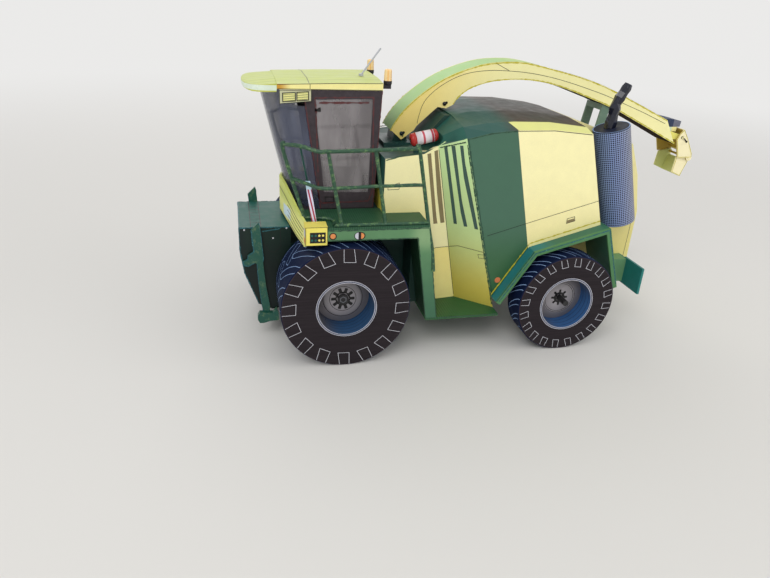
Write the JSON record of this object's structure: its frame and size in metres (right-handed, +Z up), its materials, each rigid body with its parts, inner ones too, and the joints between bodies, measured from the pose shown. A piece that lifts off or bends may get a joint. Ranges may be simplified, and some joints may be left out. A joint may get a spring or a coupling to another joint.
{
  "type": "card scale model of a forage harvester",
  "caption": "Folded card scale model of a forage harvester: wheels that roll, a linked steered rear axle, a lifting curved spout and hinged spout tip flaps.",
  "frame": {"origin": "bottom centre of the bounding box, on the ground", "axes": "+X forward, +Y to the model's left side, +Z up"},
  "size_m": [0.2444, 0.11, 0.1388],
  "materials": {
    "dark_green_card": "satin",
    "black_card": "satin",
    "tyre_card": "satin",
    "rim_card": "satin",
    "intake_card": "satin",
    "green_card": "satin",
    "deck_card": "satin",
    "railing_card": "satin",
    "yellow_card": "satin",
    "lamp_yellow_card": "satin",
    "cab_card": "satin",
    "roof_card": "satin",
    "cream_card": "satin",
    "amber_card": "satin",
    "board_card": "satin",
    "vent_card": "satin",
    "mesh_card": "satin",
    "red_card": "satin",
    "spout_card": "satin",
    "clear_foil": "clear",
    "wire": "satin"
  },
  "bodies": {
    "frame": {"chassis": "dark_green_card", "front_axle": "black_card", "rear_axle": "dark_green_card", "intake_housing": "intake_card", "header_frame": "intake_card", "front_fender_left": "green_card", "front_fender_right": "green_card", "deck_left": "deck_card", "deck_right": "deck_card", "railing_left": "railing_card", "railing_right": "railing_card", "apron": "yellow_card", "lamp_box_left": "lamp_yellow_card", "lamp_box_right": "lamp_yellow_card", "cab_frame": "cab_card", "cab_glass": "clear_foil", "door_glass_left": "clear_foil", "door_glass_right": "clear_foil", "roof": "roof_card", "air_grille_left": "cream_card", "air_grille_right": "cream_card", "antenna": "wire", "beacon_left": "amber_card", "beacon_right": "amber_card", "warning_board_left": "board_card", "warning_board_right": "board_card", "rear_housing": "cream_card", "vent_panel_left": "vent_card", "vent_panel_right": "vent_card", "hood": "cream_card", "tail_body": "cream_card", "step_left": "deck_card", "step_right": "deck_card", "rear_fender_left": "green_card", "rear_fender_right": "green_card", "exhaust_shield": "mesh_card", "exhaust_pipe": "black_card", "extinguisher": "red_card", "spout_rack": "dark_green_card", "spout_turret": "dark_green_card", "mud_flap_left": "green_card", "mud_flap_right": "green_card"},
    "front_wheel_left": {"front_tyre_left": "tyre_card", "front_rim_left": "rim_card"},
    "front_wheel_right": {"front_tyre_right": "tyre_card", "front_rim_right": "rim_card"},
    "steer_left": {"knuckle_left": "black_card"},
    "steer_right": {"knuckle_right": "black_card"},
    "steer_link": {"tie_rod": "black_card"},
    "rear_wheel_left": {"rear_tyre_left": "tyre_card", "rear_rim_left": "rim_card"},
    "rear_wheel_right": {"rear_tyre_right": "tyre_card", "rear_rim_right": "rim_card"},
    "spout": {"spout": "spout_card", "spout_lamp": "dark_green_card"},
    "flap_upper": {"flap_upper": "spout_card"},
    "flap_lower": {"flap_lower": "spout_card"}
  },
  "joints": [
    {"name": "front_left_spin", "type": "hinge", "parent": "frame", "child": "front_wheel_left", "pos_m": [0.07575, 0.04, 0.03], "axis": [0, 1, 0], "continuous": true},
    {"name": "front_right_spin", "type": "hinge", "parent": "frame", "child": "front_wheel_right", "pos_m": [0.07575, -0.04, 0.03], "axis": [0, 1, 0], "continuous": true},
    {"name": "steer_left_turn", "type": "hinge", "parent": "frame", "child": "steer_left", "pos_m": [-0.03525, 0.0375, 0.0255], "axis": [0, 0, 1], "range_deg": [-6, 6]},
    {"name": "steer_right_turn", "type": "hinge", "parent": "frame", "child": "steer_right", "pos_m": [-0.03525, -0.0375, 0.0255], "axis": [0, 0, 1], "range_deg": [-6, 6]},
    {"name": "steer_link_swing", "type": "hinge", "parent": "steer_left", "child": "steer_link", "pos_m": [-0.04325, 0.0375, 0.019], "axis": [0, 0, 1], "range_deg": [-6, 6]},
    {"name": "rear_left_spin", "type": "hinge", "parent": "steer_left", "child": "rear_wheel_left", "pos_m": [-0.03525, 0.048, 0.0255], "axis": [0, 1, 0], "continuous": true},
    {"name": "rear_right_spin", "type": "hinge", "parent": "steer_right", "child": "rear_wheel_right", "pos_m": [-0.03525, -0.048, 0.0255], "axis": [0, 1, 0], "continuous": true},
    {"name": "spout_lift", "type": "hinge", "parent": "frame", "child": "spout", "pos_m": [0.04275, 0, 0.1002], "axis": [0, 1, 0], "range_deg": [0, 25]},
    {"name": "flap_upper_swing", "type": "hinge", "parent": "spout", "child": "flap_upper", "pos_m": [-0.11345, 0, 0.0984], "axis": [0, 1, 0], "range_deg": [0, 20]},
    {"name": "flap_lower_swing", "type": "hinge", "parent": "flap_upper", "child": "flap_lower", "pos_m": [-0.12065, 0, 0.0872], "axis": [0, 1, 0], "range_deg": [0, 20]}
  ],
  "couplings": [
    {"joint": "steer_right_turn", "follows": "steer_left_turn", "ratio": 1},
    {"joint": "steer_link_swing", "follows": "steer_left_turn", "ratio": -1}
  ]
}
